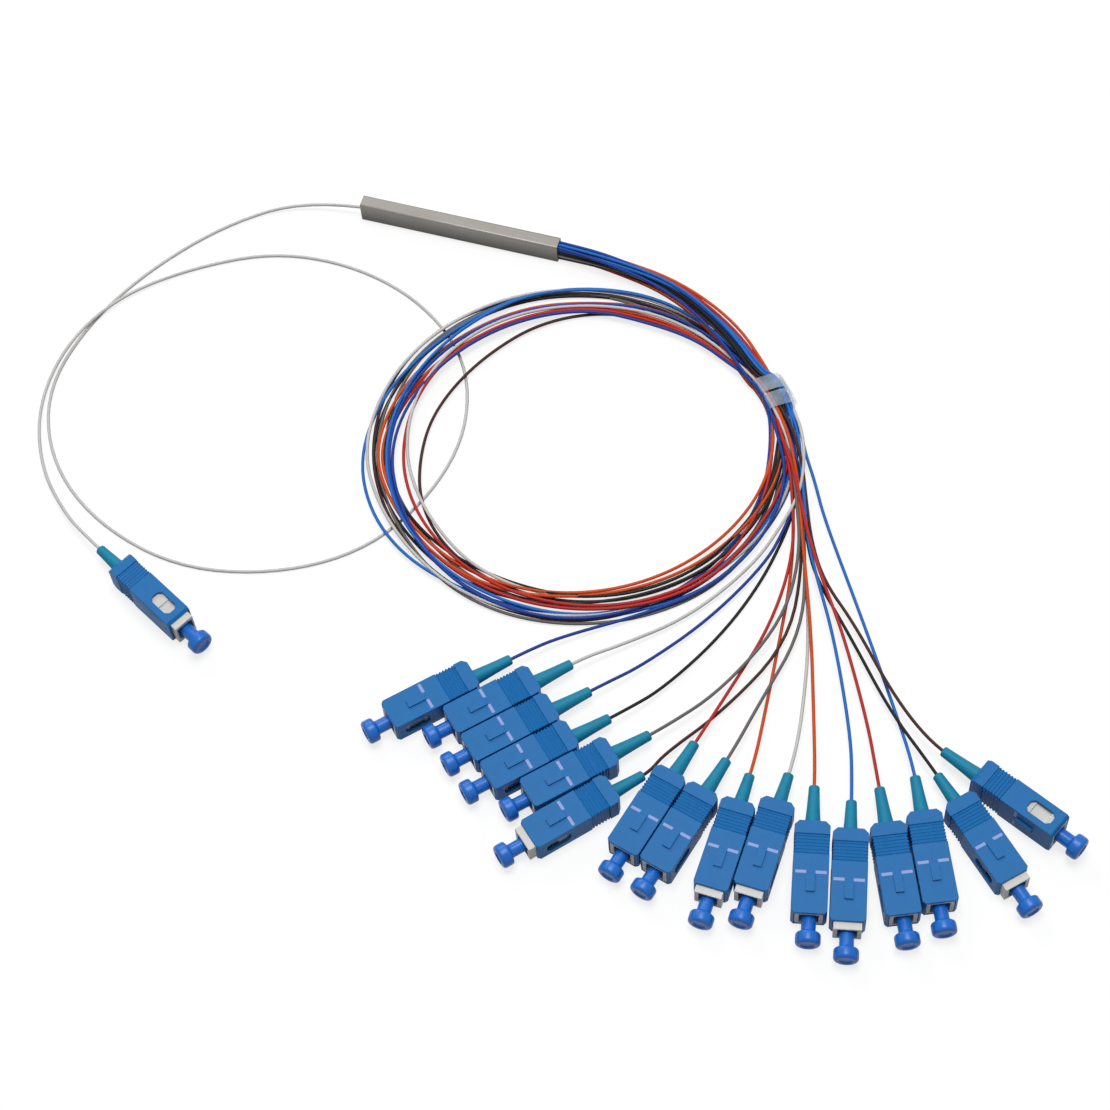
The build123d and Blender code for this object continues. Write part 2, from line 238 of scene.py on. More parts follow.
leadColours = {
    "blue": (0.012, 0.055, 0.33), "lightBlue": (0.018, 0.17, 0.60), "white": (0.65, 0.635, 0.625),
    "black": (0.006, 0.0055, 0.007), "grey": (0.16, 0.15, 0.145), "brown": (0.055, 0.018, 0.014),
    "red": (0.52, 0.028, 0.022), "orange": (0.68, 0.085, 0.010),
}


def leadFinish(name, colour):
    # soft jacket: a little lighter where it was rubbed, and a fine drawn grain in the gloss
    made = Finish(name, Roughness=0.4, Specular_IOR_Level=0.2)
    where = made.place()
    rub = made.noise(where, 90.0, 4.0)
    grain = made.noise(where, 2600.0, 2.0)
    tone = made.mix(rub, rgba(colour, 0.86), rgba(colour, 1.12))
    return made.drive(Base_Color=tone, Roughness=0.32 + 0.22 * rub, Normal=made.bump(grain, 0.12, 0.00004))


gripLook = {"colour": (0.0065, 0.158, 0.450), "rubbed": (0.035, 0.23, 0.55), "dash": (0.40, 0.46, 0.82),
            "dashAt": -11.0, "dashHigh": 0.8, "dashFrom": 1.15, "dashTo": 3.9, "keyFace": 3.6}


def gripFinish(name, plugName, back):
    # moulded plastic in the plug's own frame: eroded grain, a parting line, worn patches
    # and two painted dashes
    made = Finish(name, Roughness=0.45, Specular_IOR_Level=0.25)
    matrix = plugFrame(plugName, back)
    where = made.scaled(made.place(), (1, 1, 1), matrix.to_euler(), matrix.translation, "TEXTURE")
    across, up, along = made.split(where)[:3]
    acrossMm, upMm, alongMm = across * 1000.0, up * 1000.0, along * 1000.0
    inBand = abs(alongMm - gripLook["dashAt"]) < gripLook["dashHigh"] / 2
    aside = abs(acrossMm)
    onFace = (upMm > gripLook["keyFace"]) * inBand
    dash = onFace * (aside > gripLook["dashFrom"]) * (aside < gripLook["dashTo"])
    cloud = made.noise(where, 260.0, 3.0)
    grain = made.noise(where, 5200.0, 3.0, 0.7)
    scuff = made.noise(made.scaled(where, (900, 900, 90)), 1.0, 4.0, 0.65)
    plain = made.mix(cloud, rgba(gripLook["colour"], 0.88), rgba(gripLook["colour"], 1.12))
    worn = made.mix(((scuff - 0.62).clamp() * 2.2).clamp(), plain, rgba(gripLook["rubbed"]))
    painted = made.mix(dash * (0.62 + 0.38 * grain), worn, rgba(gripLook["dash"]))
    parting = abs(upMm) < 0.05
    height = grain * 0.5 + dash * 0.4 + parting * 0.8
    return made.drive(Base_Color=painted, Roughness=0.38 + 0.16 * grain + 0.08 * cloud - 0.06 * dash,
                      Normal=made.bump(height, 0.22, 0.00005))


def capFinish():
    # soft glossy cap: cloudy pigment and faint flow marks
    made = Finish("softCap", Roughness=0.3, Specular_IOR_Level=0.4)
    where = made.place()
    cloud = made.noise(where, 420.0, 3.0)
    flow = made.noise(where, 1500.0, 4.0, 0.6)
    tone = made.mix(cloud, (0.004, 0.130, 0.56, 1), (0.010, 0.190, 0.72, 1))
    return made.drive(Base_Color=tone, Roughness=0.24 + 0.18 * flow, Normal=made.bump(flow, 0.15, 0.00006))


def bootFinish():
    # matt elastomer boot, greener than the grips
    made = Finish("softBoot", Roughness=0.5, Specular_IOR_Level=0.25)
    where = made.place()
    cloud = made.noise(where, 300.0, 3.0)
    grain = made.noise(where, 4200.0, 3.0, 0.7)
    tone = made.mix(cloud, (0.006, 0.215, 0.36, 1), (0.010, 0.28, 0.46, 1))
    return made.drive(Base_Color=tone, Roughness=0.42 + 0.2 * grain, Normal=made.bump(grain, 0.25, 0.00005))


def tubeFinish():
    # satin drawn metal: streaks along X, faint smears across, and painted shade darkening it towards its foot
    made = Finish("tubeMetal", Metallic=1.0, Roughness=0.42)
    where = made.place()
    streaks = made.noise(made.scaled(where, (60, 6500, 6500)), 1.0, 4.0, 0.6)
    smears = made.noise(made.scaled(where, (70, 260, 200)), 1.0, 3.0)
    high = made.split(where)[2] * 1000.0
    # painted shade: the colour darkens as the height falls, standing in for the shade on the tube's lower
    # faces
    paintedFootShade = ((6.2 - high) * 0.155).clamp()
    tone = made.mix(streaks, (0.205, 0.196, 0.183, 1), (0.272, 0.262, 0.246, 1))
    warm = made.mix(smears * 0.6, tone, (0.205, 0.188, 0.163, 1))
    shaded = made.mix(paintedFootShade, warm, (0.062, 0.058, 0.050, 1))
    return made.drive(Base_Color=shaded, Roughness=0.35 + 0.17 * smears + 0.12 * streaks,
                      Normal=made.bump(streaks, 0.30, 0.00006))


def whiteFinish():
    # white moulded frame: slightly uneven gloss and a warm tint in the thick places
    made = Finish("frameWhite", Roughness=0.35, Specular_IOR_Level=0.4)
    where = made.place()
    cloud = made.noise(where, 500.0, 3.0)
    grain = made.noise(where, 3800.0, 3.0)
    tone = made.mix(cloud, (0.64, 0.63, 0.59, 1), (0.74, 0.735, 0.71, 1))
    return made.drive(Base_Color=tone, Roughness=0.30 + 0.18 * grain, Normal=made.bump(grain, 0.12, 0.00004))


def tapeFinish():
    # clear tape: hazy and bluish, milkier where it is creased, see-through between
    made = Finish("clearTape", Roughness=0.22, IOR=1.45)
    where = made.place()
    crease = made.noise(made.scaled(where, (260, 150, 200)), 1.0, 2.5, 0.55)
    fine = made.noise(where, 1800.0, 3.0)
    tone = made.mix(crease, (0.34, 0.52, 0.70, 1), (0.66, 0.76, 0.84, 1))
    return made.drive(Base_Color=tone, Roughness=0.16 + 0.2 * fine, Alpha=(0.02 + 0.5 * crease).clamp(),
                      Normal=made.bump(crease, 0.4, 0.0003))


def metalFinish(name, dark, light, roughLow, roughHigh, metallic=1.0):
    # turned metal or polished ceramic: fine turning marks and slight stains
    made = Finish(name, Metallic=metallic, Roughness=roughLow)
    where = made.place()
    stain = made.noise(where, 700.0, 3.0)
    marks = made.noise(made.scaled(where, (2500, 2500, 9000)), 1.0, 3.0)
    return made.drive(Base_Color=made.mix(stain, dark, light),
                      Roughness=roughLow + (roughHigh - roughLow) * marks,
                      Normal=made.bump(marks, 0.12, 0.00003))


def plainFinish(name, dark, light, scale, roughLow, roughHigh, strength):
    # cast or filled compound: coarse tone and a fine surface grain
    made = Finish(name, Roughness=roughLow)
    where = made.place()
    tone = made.noise(where, scale, 4.0)
    grain = made.noise(where, scale * 9.0, 3.0)
    return made.drive(Base_Color=made.mix(tone, dark, light),
                      Roughness=roughLow + (roughHigh - roughLow) * grain,
                      Normal=made.bump(grain, strength, 0.0001))


leadMaterials = {key: leadFinish("jacket" + key[0].upper() + key[1:], value)
                 for key, value in leadColours.items()}
capMaterial, bootMaterial, whiteMaterial = capFinish(), bootFinish(), whiteFinish()
nodeFinishes = {
    "splitter_tube": tubeFinish(),
    "input_seal": plainFinish("sealCompound", (0.02, 0.02, 0.022, 1), (0.05, 0.05, 0.052, 1),
                              600, 0.5, 0.8, 0.5),
    "plc_chip": plainFinish("chipGlass", (0.55, 0.63, 0.66, 1), (0.72, 0.78, 0.80, 1), 300, 0.05, 0.15, 0.05),
    "bare_fibres": plainFinish("bareFibre", (0.70, 0.74, 0.77, 1), (0.82, 0.85, 0.88, 1),
                               900, 0.08, 0.2, 0.05),
    "plug_frames": whiteMaterial,
    "ferrules": metalFinish("ferruleCeramic", (0.80, 0.79, 0.76, 1), (0.90, 0.89, 0.87, 1), 0.08, 0.2, 0.0),
    "ferrule_holders": metalFinish("holderNickel", (0.50, 0.49, 0.46, 1), (0.68, 0.67, 0.63, 1), 0.2, 0.35),
    "springs": metalFinish("springSteel", (0.42, 0.42, 0.42, 1), (0.60, 0.60, 0.59, 1), 0.25, 0.4),
}
nodeFinishes["output_seal"] = nodeFinishes["input_seal"]
nodeFinishes["input_fibre_array"] = nodeFinishes["plc_chip"]
nodeFinishes["output_fibre_array"] = nodeFinishes["plc_chip"]
nodeFinishes["rear_bodies"] = nodeFinishes["ferrule_holders"]
edgeWidths = {"splitter_tube": 0.08, "plug_frames": 0.18, "grips": 0.22}


def dress(node, material):
    node.data.materials.clear()
    node.data.materials.append(material)


def softenEdges(node, width):
    # merges the loose triangles and rounds the moulded edges, both as live modifiers
    weld = node.modifiers.new("merge", "WELD")
    weld.merge_threshold = 0.000002
    bevel = node.modifiers.new("roundEdges", "BEVEL")
    bevel.width, bevel.segments = width * mm, 2
    bevel.limit_method, bevel.angle_limit = "ANGLE", math.radians(38)


for nodeName, material in nodeFinishes.items():
    dress(nodes[nodeName], material)
softenEdges(nodes["splitter_tube"], edgeWidths["splitter_tube"])
softenEdges(nodes["plug_frames"], edgeWidths["plug_frames"])
for name, row in plugTable.items():
    grip = nodes["grip_" + name]
    dress(grip, gripFinish("gripBlue" + name.capitalize(), name, row[4]))
    softenEdges(grip, edgeWidths["grips"])
print("finishes on the kept nodes")

capShape = {"stem": 3.7, "flange": 6.4, "flangeThick": 3.2, "outside": 3.9, "inside": 6.5, "bore": 2.62,
            "boreDeep": 7.7, "edge": 1.0, "dimple": 0.35, "sides": 40}
bootShape = {"root": 4.9, "tip": 2.75, "long": 15.0, "start": -21.0, "hole": 1.0, "hollow": 0.14, "sides": 32}


def capProfile(s):
    # from the bore's end back along the bore, round the rear rim, along the stem,
    # and out round the flange to its face
    stem, flange, bore = s["stem"] / 2, s["flange"] / 2, s["bore"] / 2
    top = s["outside"] + s["flangeThick"]
    corners = [(0.02, s["boreDeep"] - s["inside"]), (bore, s["boreDeep"] - s["inside"]), (bore, -s["inside"]),
               (stem, -s["inside"]), (stem, s["outside"]), (flange, s["outside"]), (flange, top),
               (flange * 0.55, top), (flange * 0.5, top - s["dimple"]), (0.02, top - s["dimple"])]
    return rounded(corners, [0.2, 0.15, 0.35, 0.7, 0.75, s["edge"], 0.15, 0.15])  # a radius for each corner


def bootProfile(s):
    # a long cone, hollowed a little by half a sine, with a rounded lip round the lead's hole
    t = np.linspace(0, 1, 26)
    root, tip = s["root"] / 2, s["tip"] / 2
    radius = root + (tip - root) * t - s["hollow"] * np.sin(np.pi * t)
    along = s["start"] - s["long"] * t
    body = list(zip(radius[:-1], along[:-1]))
    end = s["start"] - s["long"]
    lip = rounded([body[-1], (tip, end), (s["hole"] / 2, end), (s["hole"] / 2, end + 1.2)], [0.5, 0.2])
    collar = [(0.4, s["start"]), (root - 0.15, s["start"]), (root, s["start"] - 0.15)]
    return collar + body[1:] + lip[1:] + [(0.02, end + 1.2)]


caps, boots = {}, {}
for name in plugTable:
    matrix = plugFrame(name)
    surface = turned(capProfile(capShape), capShape["sides"], matrix)[::-1]
    caps[name] = showParts("cap_" + name, capMaterial, gridPart(surface, True, True))
    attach(caps[name], "dust_cap_" + name)
    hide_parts("dust_cap_" + name)
    surface = turned(bootProfile(bootShape), bootShape["sides"], matrix)
    boots[name] = showParts("boot_" + name, bootMaterial, gridPart(surface, True, True))
    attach(boots[name], "harness")
    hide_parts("boots")
print("caps and boots:", len(caps), len(boots))

# the ring's ellipse (mm), and in degrees round it the tape, the turn and where the strands change layers
coil = {"centre": (56.5, -62.5), "turned": 30.0, "halfLong": 56.7, "halfShort": 50.7,
        "tapeAt": 5.0, "beforeTape": 5.5, "afterTape": 5.0, "turnFrom": -14.0, "turnTo": -345.0, "step": 18.0,
        "layersFrom": 100.0, "layersTo": 150.0, "strayReach": 22.0}
# one lead, how the leads pack at the tube's end and in the tape, and how their bundle runs to the tape
lead = {"diameter": 0.9, "pitch": 0.9, "tubePitch": 0.95, "tubeMiddle": (1, 2.5), "innerInTape": -4.35,
        "tapeFloor": 1.0, "tapeMiddle": 2.35, "lean": 0.09, "toTape": (0.15, 0.4, 0.7, 0.9),
        "bundleShift": 0.6, "bundleInner": -3.6, "wander": 0.4}
leadStart = {"output": (28.5, 0, 3.5), "input": (-30, 0, 3.5)}  # in the tube's front end, and at its back
# how far behind a plug's face its lead stops running straight, and where it ends inside the boot (mm)
leadEnd = {"straight": 40.5, "early": 38.0, "inside": 34.6}

# where the strands were read, in degrees round the coil as they run, and how high the lowest layer lies there
stations = [-20, -46, -72, -98, -132, -167, -196, -240, -271, -286, -304, -330]
lowestAt = [0.5, 0.5, 0.5, 0.7, 1.1, 1.5, 1.4, 1.5, 1.1, 0.8, 0.6, 0.7]

# for each output lead: colour, layer on the near and on the far side, its place across the band at each
# station (mm outwards of the middle), and its slot as (column, row) beside the tube's end, in the tape,
# and in the tape after the turn
strands = {
    "1": ("blue", (1, 2), [-5.3, -3.4, -0.2, 2.7, 1.0, -3.6, -2.4, -3.2, -3.6, -4.3, -7.2, -6.7],
          (0, 5), (0, 2), (0, 3)),
    "2": ("white", (1, 1), [2.2, 1.8, 1.0, 1.2, 1.6, 0.6, 5.2, 7.1, 5.5, 3.6, 1.7, -2.4],
          (1, 2), (6, 1), (7, 2)),
    "3": ("blue", (0, 2), [0.9, -0.8, 1.8, 2.0, 0.3, -2.6, -1.6, 0.3, -0.8, -2.0, -1.8, -4.0],
          (2, 5), (5, 2), (3, 2)),
    "4": ("black", (2, 1), [-1.8, -3.8, -2.3, -3.5, -7.4, -4.8, 0.4, 1.0, 0.0, -1.6, -2.6, -5.0],
          (0, 2), (4, 3), (1, 2)),
    "5": ("grey", (0, 0), [-2.8, -0.2, 0.4, -1.6, -3.8, -5.4, -0.3, 5.4, 5.2, 2.6, -1.4, -4.8],
          (1, 3), (4, 1), (2, 0)),
    "6": ("brown", (0, 0), [-3.4, -2.6, -1.6, -3.0, -5.6, -8.4, -10.8, -9.8, -4.6, -3.8, -4.2, -5.6],
          (1, 1), (4, 0), (1, 0)),
    "7": ("red", (2, 2), [-4.7, -2.0, 1.4, -0.7, -4.5, -7.0, -5.5, -2.2, -2.8, -3.6, -6.1, -6.2],
          (2, 1), (0, 0), (1, 1)),
    "8": ("grey", (0, 0), [-2.2, 1.4, 4.3, 3.5, 2.4, -1.0, 2.0, 6.2, 4.6, 3.2, 0.8, -4.2],
          (2, 3), (5, 0), (3, 0)),
    "9": ("orange", (2, 1), [-4.2, -5.4, -5.6, -5.3, -5.3, -4.0, 1.2, -1.9, -2.0, -2.4, -4.0, -5.8],
          (1, 0), (0, 1), (2, 1)),
    "10": ("white", (1, 2), [-0.2, -3.0, -3.0, -4.2, -6.1, -9.7, -6.6, -0.6, -1.3, -2.6, -3.2, -5.2],
          (0, 1), (5, 1), (1, 3)),
    "11": ("orange", (2, 1), [-1.0, -3.2, -3.8, -4.6, -3.4, -2.8, 2.3, 1.0, 0.6, -1.2, -0.9, -3.8],
          (2, 4), (6, 0), (2, 3)),
    "12": ("lightBlue", (1, 2), [1.6, 0.9, 0.2, 1.6, -1.1, -2.2, -0.9, 1.7, 5.0, 3.0, 2.2, -2.8],
          (1, 5), (6, 3), (6, 2)),
    "13": ("red", (2, 1), [0.4, 0.0, 2.5, 0.2, -2.6, -3.2, 0.0, -2.7, -1.8, -3.2, -5.2, -6.6],
          (1, 4), (7, 0), (2, 2)),
    "14": ("lightBlue", (0, 1), [2.8, 1.6, 3.4, 0.6, -0.4, 4.2, 6.4, 3.4, 5.6, 4.1, 2.8, -2.9],
          (0, 4), (7, 3), (7, 1)),
    "15": ("black", (2, 0), [-1.3, -1.4, -1.0, -2.4, -1.8, -1.6, 3.4, 4.4, 4.0, 2.0, 0.4, -3.6],
          (0, 3), (5, 3), (3, 1)),
    "16": ("brown", (0, 0), [-0.7, 0.6, -0.4, 3.0, 0.8, 0.3, 3.1, 8.4, 4.4, 2.4, 1.1, -2.6],
          (0, 0), (4, 2), (3, 3)),
}
# strands that stray from the band: how much lower they lie (mm) at each of these degrees
strayLow = {
    "14": {-167: -0.6, -180: -1.4, -196: -1.2},
    "7": {-180: -0.8, -196: -1.3},
    "10": {-180: -0.4, -196: -0.6},
}
# two strands bow out of the bundle: how far, and how high over its middle, at each of its points
bulge = {"11": ([0.9, 2.4, 3.2, 2.3], [1.4, 1.2, 1.0, 0.6]),
         "13": ([0.4, 1.6, 2.4, 1.7], [1.3, 1.0, 0.7, 0.4])}

# how each lead comes out of the tape after its turn: its height over the coil, then (degrees, mm outwards)
leaving = {
    "1": (3.0, [(-11, -3.6), (-22, -0.9), (-32, 0.8), (-44, 2.2), (-58, 3.2), (-72, 3.6)]),
    "2": (4.2, [(-11, 3.4), (-22, 4.4), (-32, 5.3), (-42, 5.0)]),
    "3": (3.1, [(-11, -0.4), (-22, 3.0), (-32, 5.0), (-42, 5.9)]),
    "4": (2.7, [(-11, -1.2), (-22, 2.2), (-32, 4.7), (-42, 6.6)]),
    "5": (3.6, [(-11, -1.6), (-22, 1.0), (-32, 4.4)]),
    "6": (2.7, [(-11, -1.7), (-22, 1.2), (-32, 4.7)]),
    "7": (3.4, [(-11, -2.6), (-22, 0.2), (-32, 3.4)]),
    "8": (2.7, [(-11, -0.4), (-22, 2.0), (-32, 5.6)]),
    "9": (3.0, [(-11, -2.2), (-22, 0.5), (-32, 3.8)]),
    "10": (2.6, [(-11, -1.2), (-22, 1.5), (-32, 5.0)]),
    "11": (3.7, [(-11, -0.6), (-22, 1.8), (-32, 5.3)]),
    "12": (3.5, [(-11, 2.3), (-22, 3.4), (-32, 6.6)]),
    "13": (4.7, [(-11, -2.8), (-22, 0.7), (-32, 5.2)]),
    "14": (3.0, [(-10, 3.0), (-18, 4.2), (-26, 8.0)]),
    "15": (3.2, [(-11, 0.2), (-22, 2.6), (-32, 6.2)]),
    "16": (3.9, [(-11, 1.0), (-22, 3.8), (-32, 7.2)]),
}

# from the coil out to the boot (mm)
fan = {
    "1": [(85, -108, 1.2), (67, -120.5, 2.6)],
    "2": [(110.5, -86, 2.8), (98, -105, 1.4), (83, -118.5, 2.4)],
    "3": [(113.5, -84, 2.0), (103, -105, 1.6), (90, -123, 2.4)],
    "4": [(113.5, -90, 0.6), (107, -109, 0.6), (97, -128, 2.0)],
    "5": [(122.0, -80, 4.4), (122.5, -101, 3.9), (112, -125, 3.2)],
    "6": [(122.8, -80, 2.4), (125.5, -106, 2.4), (113.5, -130, 1.0), (102.8, -145.8, 2.4)],
    "7": [(120.2, -80, 3.4), (119.5, -102, 1.8), (114, -124, 2.6)],
    "8": [(123.3, -80, 3.5), (128, -101.5, 2.6), (122.5, -126, 3.0)],
    "9": [(120.8, -84, 1.2), (122.8, -106, 0.8), (124.6, -128, 1.6)],
    "10": [(123.4, -81, 1.3), (130, -102, 1.0), (134, -125, 2.0)],
    "11": [(122.4, -79, 4.6), (130.5, -102, 2.4), (137.5, -127, 2.4)],
    "12": [(122.8, -76, 4.6), (128.0, -86, 3.6), (136.5, -101.5, 2.6), (147.5, -128, 2.4)],
    "13": [(122.8, -75, 5.2), (129.2, -86, 4.6), (138.5, -100, 3.4), (150.5, -122.5, 1.8)],
    "14": [(125, -66, 1.0), (142, -93, 0.8), (156.5, -117, 1.0)],
    "15": [(122.4, -75, 2.4), (127.4, -85, 2.0), (140, -99, 1.7), (155.5, -118.5, 2.6)],
    "16": [(123.6, -75, 3.2), (129.9, -86, 3.0), (140.5, -96, 2.8), (155, -114, 3.8)],
}
# the middle line of the bundle from the tube to the tape, and the input lead from the tube to its boot
bundlePoints = [(30, 0, 3.5), (46, -0.5, 3.5), (66, -4.5, 3.6), (84, -15, 3.6), (97, -27, 3.2)]
inputPoints = [
    (-30, 0, 3.5), (-48, -0.5, 1.6), (-68, -14, 0.5), (-84.5, -36, 0.5), (-94.5, -59, 0.5), (-97, -83, 0.5),
    (-86.5, -104.5, 0.5), (-67, -119.5, 0.5), (-40, -127, 0.5), (-13, -121.5, 0.5), (8, -108, 0.5),
    (19.5, -87, 0.5),
    (22.8, -64, 0.5), (15, -41, 0.5), (-4, -25.5, 0.5), (-27, -18.5, 0.5), (-51, -20, 0.5), (-72.5, -32, 0.7),
    (-88.5, -47, 1.6), (-97, -66, 1.9), (-97, -88, 1.9), (-88.5, -107, 1.4), (-75.5, -120, 2.2),
]


def coilPoint(angle, outwards, height):
    # on the coil's ellipse, its half axes grown by the place across the band
    t, lean = math.radians(angle), math.radians(coil["turned"])
    along = (coil["halfLong"] + outwards) * math.cos(t)
    aside = (coil["halfShort"] + outwards) * math.sin(t)
    return (coil["centre"][0] + along * math.cos(lean) - aside * math.sin(lean),
            coil["centre"][1] + along * math.sin(lean) + aside * math.cos(lean), height)


def bundlePoint(index, aside, height):
    # beside a point of the bundle's middle line, in plan, and at its own height
    line = np.array(bundlePoints)
    ahead = line[min(index + 1, len(line) - 1)] - line[max(index - 1, 0)]
    ahead = ahead[:2] / np.linalg.norm(ahead[:2])
    x, y, z = line[index]
    return (x - ahead[1] * aside, y + ahead[0] * aside, z + height)


def bootEnd(name):
    # straight out of the boot for a few diameters, and a little way into it
    matrix = plugFrame(name)
    out = leadEnd["early"] if name == "6" else leadEnd["straight"]  # lead 6 clears the grip beside it
    return [tuple((matrix @ Vector((0, 0, -along * mm))) / mm) for along in (out, leadEnd["inside"])]


def strayDrop(name, angle):
    # a strand that strays from the band sinks towards the table, and comes back up over the next step
    if name not in strayLow:
        return 0.0
    near = strayLow[name]
    at = [-a for a in near]
    spread = [at[0] - coil["strayReach"]] + at + [at[-1] + coil["strayReach"]]
    return float(np.interp(-angle, spread, [0] + list(near.values()) + [0]))


def tapePoints(aside, high):
    # two points under the tape's ends; the band leans inwards against its run
    first, last = coil["tapeAt"] + coil["beforeTape"], coil["tapeAt"] - coil["afterTape"]
    return [coilPoint(first, aside - lead["lean"] * (first - last), high), coilPoint(last, aside, high)]


def outputRoute(name):
    # tube, bundle, tape, one turn of the coil, tape again, and out to the boot
    _, layers, lanes, tubeSlot, tapeSlot, lateSlot = strands[name]
    pitch = lead["pitch"]
    side, row = [(slot - middle) * lead["tubePitch"] for slot, middle in zip(tubeSlot, lead["tubeMiddle"])]
    tapeAside, tapeHigh = lead["innerInTape"] + tapeSlot[0] * pitch, lead["tapeFloor"] + tapeSlot[1] * pitch
    startX, _, startZ = leadStart["output"]
    points = [(startX, side, startZ + row), bundlePoint(0, side, row)]
    for index, share in enumerate(lead["toTape"], 1):
        aside = side * (1 - share) + (tapeAside - lead["bundleShift"]) * share
        aside = max(aside, lead["bundleInner"])
        high = row * (1 - share) + (tapeHigh - lead["tapeMiddle"]) * share
        if name in bulge:
            aside, high = bulge[name][0][index - 1], bulge[name][1][index - 1]
        aside += lead["wander"] * math.sin(1.9 * index + int(name) * 2.4)
        points.append(bundlePoint(index, aside, high))
    points += tapePoints(tapeAside, tapeHigh)
    for angle in np.arange(coil["turnFrom"], coil["turnTo"], -coil["step"]):
        across = float(np.interp(-angle, [-s for s in stations], lanes))
        low = float(np.interp(-angle, [-s for s in stations], lowestAt))
        layer = float(np.interp(-angle, [coil["layersFrom"], coil["layersTo"]], layers))
        points.append(coilPoint(angle, across, low + layer * pitch + strayDrop(name, angle)))
    lateAside, lateHigh = lead["innerInTape"] + lateSlot[0] * pitch, lead["tapeFloor"] + lateSlot[1] * pitch
    points += tapePoints(lateAside, lateHigh)
    over, way = leaving[name]
    down = fan[name][0][2]
    for step, (angle, outwards) in enumerate(way):
        share = max(0, step - 1) / (len(way) - 2)
        high = (over + lateHigh) / 2 if step == 0 else over + (down - over) * 0.5 * share
        points.append(coilPoint(angle, outwards, high))
    return points + fan[name] + bootEnd(name)


def makeLead(name, points, material):
    # one open NURBS spline of order 3 with these control points, and a round section
    curve = bpy.data.curves.new(name, "CURVE")
    curve.dimensions = "3D"
    curve.bevel_depth = lead["diameter"] / 2 * mm
    curve.bevel_resolution = 3
    curve.resolution_u = 6
    curve.use_fill_caps = True
    spline = curve.splines.new("NURBS")
    spline.points.add(len(points) - 1)
    spline.points.foreach_set("co", (np.c_[np.array(points) * mm, np.ones(len(points))]).ravel())
    spline.order_u = 3
    spline.use_endpoint_u = True
    curve.materials.append(material)
    made = bpy.data.objects.new(name, curve)
    scene.collection.objects.link(made)
    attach(made, "harness")
    return made


leads = {}
for name in strands:
    colour = strands[name][0]
    slotColour = "blue" if colour == "lightBlue" else colour
    made = makeLead("lead_" + name, outputRoute(name), leadMaterials[colour])
    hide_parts(slotColour + "_leads", "output_coil", "entry_bundle")
    slotColour + "_lead"
    leads[name] = made
leads["input"] = makeLead("lead_input", inputPoints + bootEnd("input"), leadMaterials["white"])
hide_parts("input_lead")
for name, made in leads.items():
    withPieces = [nodes["grip_" + name], caps[name], boots[name]]
    if name == "input":
        withPieces += [nodes[n] for n in ("plug_frames", "ferrules", "ferrule_holders", "springs",
                                          "rear_bodies")]
    "coiled" if name != "input" else "loose"
print("leads:", len(leads))

tape = {"long": 10.6, "wide": 7.9, "high": 4.7, "middle": lead["tapeMiddle"], "outwards": -1.4, "square": 3.2,
        "sides": 56, "rows": 16, "gap": 0.7, "ripple": 0.018, "fineRipple": 0.012, "film": 0.06,
        "flag": 0.8, "flagInset": 0.1, "flagUp": 0.9, "flagDrop": 0.76, "flagWave": 0.05, "bendRadius": 53.0}


def makeTape():
    # two loops side by side round the coil, each a superellipse (a power of the cosine across and of the
    # sine up) rippled by creases, and the flag where the tape's end sticks out
    here = np.array(coilPoint(coil["tapeAt"], tape["outwards"], 0))
    after = np.array(coilPoint(coil["tapeAt"] - 2, tape["outwards"], 0))
    ahead = (after - here) / np.linalg.norm(after - here)
    out = np.array([-ahead[1], ahead[0], 0.0])
    high = np.array([0, 0, 1.0])

    def laid(along, across, up):
        # along the band, across it and up, following the coil's curve and lean
        bend = lead["lean"] * along - along ** 2 / (2 * tape["bendRadius"])
        flat = here + ahead * along[..., None] + out * (across + bend)[..., None]
        return (flat + high * up[..., None]) * mm

    angle = np.linspace(0, 2 * np.pi, tape["sides"], endpoint=False)[None, :]
    power = 2 / tape["square"]
    parts = []
    half = tape["long"] / 2
    for start, end in ((-half, -tape["gap"] / 2), (tape["gap"] / 2, half)):
        along = np.linspace(start, end, tape["rows"])[:, None] + 0 * angle
        ripple = 1 + tape["ripple"] * np.sin(5 * angle + 0.7 * along)
        ripple += tape["fineRipple"] * np.sin(9 * angle - 1.3 * along + 1)
        across = np.sign(np.cos(angle)) * np.abs(np.cos(angle)) ** power * tape["wide"] / 2 * ripple
        rise = np.sign(np.sin(angle)) * np.abs(np.sin(angle)) ** power
        up = rise * tape["high"] / 2 * ripple + tape["middle"]
        parts.append(gridPart(laid(along, across, up)))
    along, reach = np.meshgrid(np.linspace(-half, half, 2 * tape["rows"]), np.linspace(0, 1, 6),
                               indexing="ij")
    wave = tape["flagWave"] * np.sin(0.7 * along)
    across = tape["wide"] / 2 - tape["flagInset"] + reach * tape["flag"] * (1 + wave)
    up = tape["middle"] + tape["flagUp"] - tape["flagDrop"] * reach ** 2
    up += tape["flagWave"] * np.sin(0.6 * along)
    parts.append(gridPart(laid(along, across, up), False))
    made = showParts("tape", tapeFinish(), *parts)
    film = made.modifiers.new("film", "SOLIDIFY")
    film.thickness, film.offset = tape["film"] * mm, 1.0
    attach(made, "harness")
    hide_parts("coil_tape")


makeTape()
print("tape made")

# last two in metres
stage = {"floorLit": 0.28, "floorGlow": 0.77, "worldLevel": 0.22, "half": 30.0, "drop": 0.00002}
floorMesh = bpy.data.meshes.new("floor")
half = stage["half"]
floorCorners = [(-half, -half, 0), (half, -half, 0), (half, half, 0), (-half, half, 0)]
floorMesh.from_pydata(floorCorners, [], [(0, 1, 2, 3)])
floor = bpy.data.objects.new("floor", floorMesh)
floor.location.z = -stage["drop"]
scene.collection.objects.link(floor)
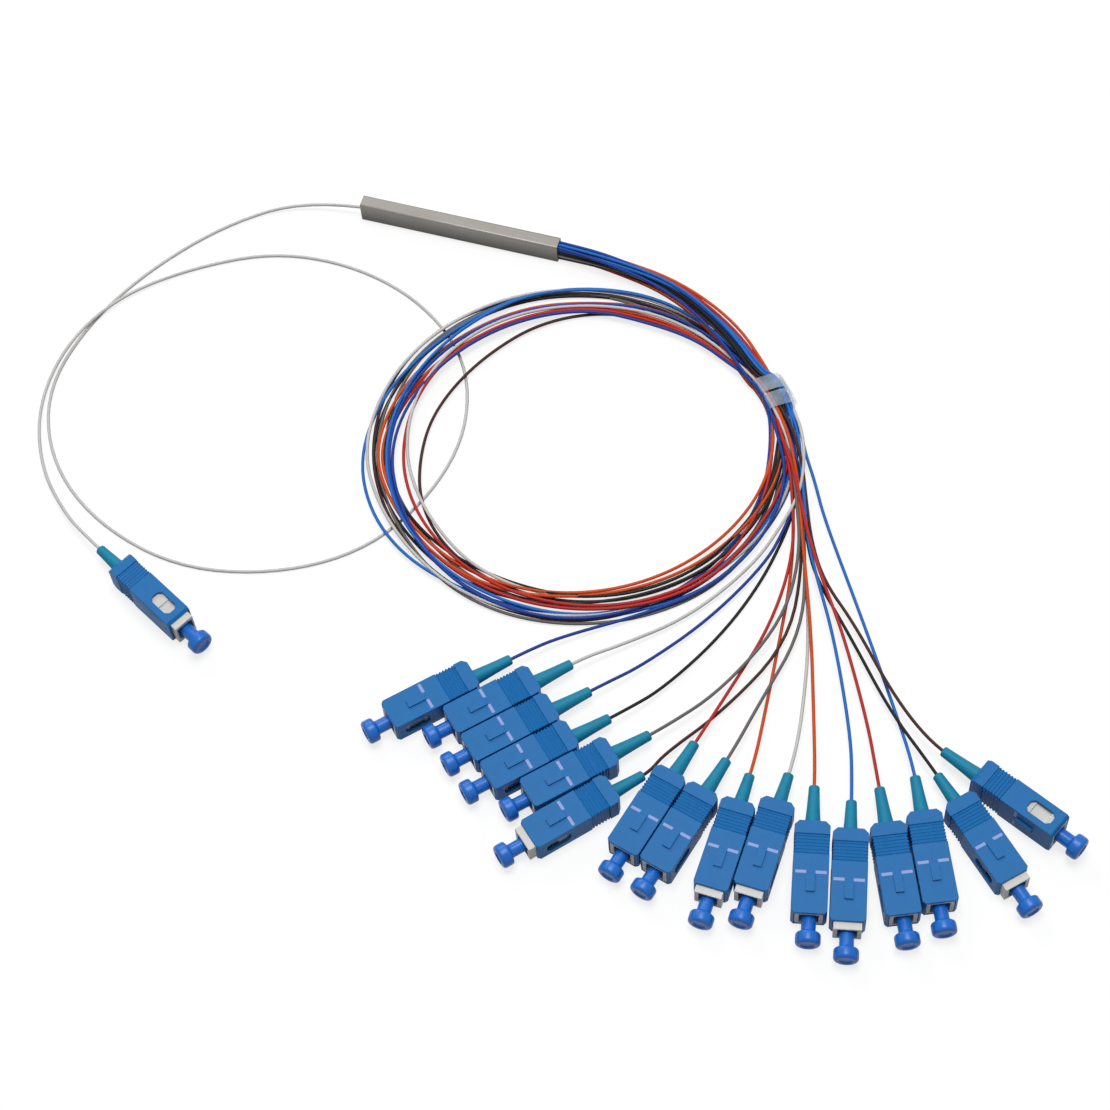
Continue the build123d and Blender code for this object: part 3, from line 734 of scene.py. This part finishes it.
# the floor is lit by the lamps, and topped up to white where it is seen
pale = Finish("floorWhite", Roughness=0.9, Specular_IOR_Level=0.0)
pale.plug(pale.shader.inputs["Base Color"], (stage["floorLit"],) * 3 + (1,))
glow = pale.add("ShaderNodeEmission", {}, {0: (1, 1, 1, 1), 1: pale.seenAsWhite() * stage["floorGlow"]})[0]
both = pale.add("ShaderNodeAddShader", {}, {0: Sock(pale, pale.shader.outputs[0]), 1: glow})[0]
pale.plug(pale.tree.nodes["Material Output"].inputs[0], both)
floorMesh.materials.append(pale.material)

world = bpy.data.worlds.new("studio")
world.use_nodes = True
scene.world = world
sky = Wiring(world.node_tree)
background = sky.tree.nodes["Background"]
background.inputs["Color"].default_value = (1, 1, 1, 1)
sky.plug(background.inputs["Strength"], stage["worldLevel"] + (1 - stage["worldLevel"]) * sky.seenAsWhite())

lamps = {  # place, size, power
    "overhead": ((0.05, 0.02, 1.3), 0.7, 10.5),
    "backLeft": ((-0.7, 0.7, 0.8), 0.7, 3.5),
}
aim = Vector((0.057, -0.095, 0))
for name, (place, size, power) in lamps.items():
    light = bpy.data.lights.new(name, "AREA")
    light.shape, light.size, light.energy = "DISK", size, power
    lamp = bpy.data.objects.new(name, light)
    lamp.location = place
    lamp.rotation_euler = (aim - Vector(place)).to_track_quat("-Z", "Y").to_euler()
    scene.collection.objects.link(lamp)

view = {"azimuth": 22.01, "elevation": 59.78, "roll": 5.75, "distance": 0.7069,
        "target": (0.0578, -0.0955, 0), "lens": 84.9}
cameraData = bpy.data.cameras.new("camera")
cameraData.sensor_width, cameraData.lens = 36.0, view["lens"]
camera = bpy.data.objects.new("camera", cameraData)
scene.collection.objects.link(camera)
scene.camera = camera
azimuth, elevation = math.radians(view["azimuth"]), math.radians(view["elevation"])
level = math.cos(elevation)
back = Vector((math.sin(azimuth) * level, -math.cos(azimuth) * level, math.sin(elevation)))
aimed = (-back).to_track_quat("-Z", "Y").to_matrix() @ Matrix.Rotation(math.radians(-view["roll"]), 3, "Z")
camera.matrix_world = Matrix.Translation(Vector(view["target"]) + back * view["distance"]) @ aimed.to_4x4()
scene.view_settings.view_transform = "Standard"
print("stage, lamps and camera")

bpy.context.view_layer.update()
